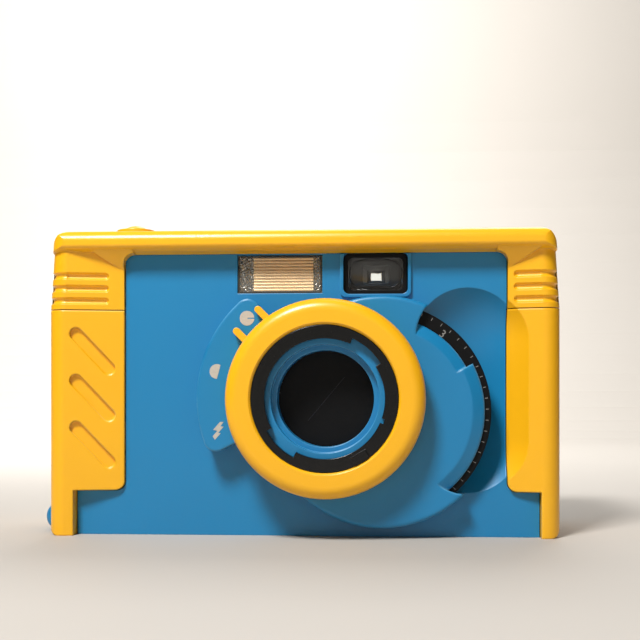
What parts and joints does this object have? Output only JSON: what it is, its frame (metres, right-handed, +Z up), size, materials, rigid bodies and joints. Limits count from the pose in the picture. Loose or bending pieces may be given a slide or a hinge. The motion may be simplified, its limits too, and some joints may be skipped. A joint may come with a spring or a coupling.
{
  "type": "toy camera",
  "caption": "Children's film camera with a yellow and blue case, selector ring round the lens, thumb-turned scale disc, flash, finder, shutter button and hinged film door",
  "frame": {"origin": "middle of the base, on the surface that it stands on", "axes": "X to the right seen from the front, front towards -Y, Z up"},
  "size_m": [0.1292, 0.0563, 0.0797],
  "materials": {
    "yellow_abs": "moulded, satin gloss",
    "blue_abs": "moulded, satin gloss",
    "black_abs": "moulded, fine matt",
    "black_gloss_abs": "moulded, polished",
    "plated_steel": "nickel plated",
    "blackened_steel": "blackened sheet",
    "clear_acrylic": "clear, moulded",
    "flash_glass": "clear tube",
    "reflector_foil": "bright foil",
    "board_laminate": "lacquered laminate",
    "capacitor_sleeve": "shrunk sleeve",
    "lamp_plastic": "clear orange-red",
    "cell_jacket": "plain printed jacket"
  },
  "bodies": {
    "camera": {"top_cover": "yellow_abs", "left_grip": "yellow_abs", "right_grip": "yellow_abs", "front_cover": "blue_abs", "hub_cover": "blue_abs", "lens_barrel": "blue_abs", "film_body": "black_abs", "lens_holder": "black_abs", "finder_tube": "black_abs", "battery_case": "black_abs", "bayonet_ring": "black_gloss_abs", "door_hinge_pin": "plated_steel", "selector_spring": "plated_steel", "dial_axle": "plated_steel", "shutter_pivot": "plated_steel", "shutter_spring": "plated_steel", "button_spring": "plated_steel", "battery_contact": "plated_steel", "screws": "plated_steel", "taking_lens": "clear_acrylic", "finder_lens": "clear_acrylic", "eyepiece": "clear_acrylic", "flash_window": "clear_acrylic", "flash_tube": "flash_glass", "flash_reflector": "reflector_foil", "flash_board": "board_laminate", "flash_capacitor": "capacitor_sleeve", "ready_lamp": "lamp_plastic", "battery": "cell_jacket"},
    "selector": {"selector_ring": "yellow_abs"},
    "dial": {"scale_dial": "black_abs"},
    "button": {"shutter_button": "yellow_abs", "release_bar": "plated_steel"},
    "blade": {"shutter_blade": "blackened_steel"},
    "door": {"film_door": "blue_abs", "pressure_plate": "black_abs", "pressure_spring": "plated_steel"},
    "advance": {"take_up_spool": "black_abs", "advance_wheel": "black_gloss_abs"},
    "rewind": {"rewind_shaft": "black_abs", "rewind_knob": "yellow_abs"},
    "cell_cover": {"battery_cover": "blue_abs", "cover_contact": "plated_steel"}
  },
  "joints": [
    {"name": "selector_turn", "type": "hinge", "parent": "camera", "child": "selector", "pos_m": [0.0063, -0.03, 0.0342], "axis": [0, -1, 0], "range_deg": [0, 62]},
    {"name": "dial_turn", "type": "hinge", "parent": "camera", "child": "dial", "pos_m": [0.0198, -0.0232, 0.031], "axis": [0, -1, 0], "continuous": true},
    {"name": "shutter_press", "type": "slide", "parent": "camera", "child": "button", "axis": [0, 0, -1], "range_m": [0, 0.002], "stiffness_N_per_m": 400, "springref_m": -0.002, "deforming": ["button_spring"]},
    {"name": "blade_swing", "type": "hinge", "parent": "camera", "child": "blade", "pos_m": [-0.0027, -0.0104, 0.0432], "axis": [0, -1, 0], "range_deg": [0, 46]},
    {"name": "door_open", "type": "hinge", "parent": "camera", "child": "door", "pos_m": [-0.0612, 0.0186, 0.03], "axis": [0, 0, 1], "range_deg": [0, 110]},
    {"name": "advance_turn", "type": "hinge", "parent": "camera", "child": "advance", "pos_m": [-0.028, 0.0055, 0.064], "axis": [0, 0, 1], "continuous": true},
    {"name": "rewind_turn", "type": "hinge", "parent": "camera", "child": "rewind", "pos_m": [0.041, 0.0028, 0.07], "axis": [0, 0, 1], "continuous": true},
    {"name": "cell_cover_slide", "type": "slide", "parent": "camera", "child": "cell_cover", "axis": [-1, 0, 0], "range_m": [0, 0.02]}
  ],
  "couplings": [
    {"joint": "blade_swing", "follows": "shutter_press", "rad_per_m": 392.7}
  ]
}
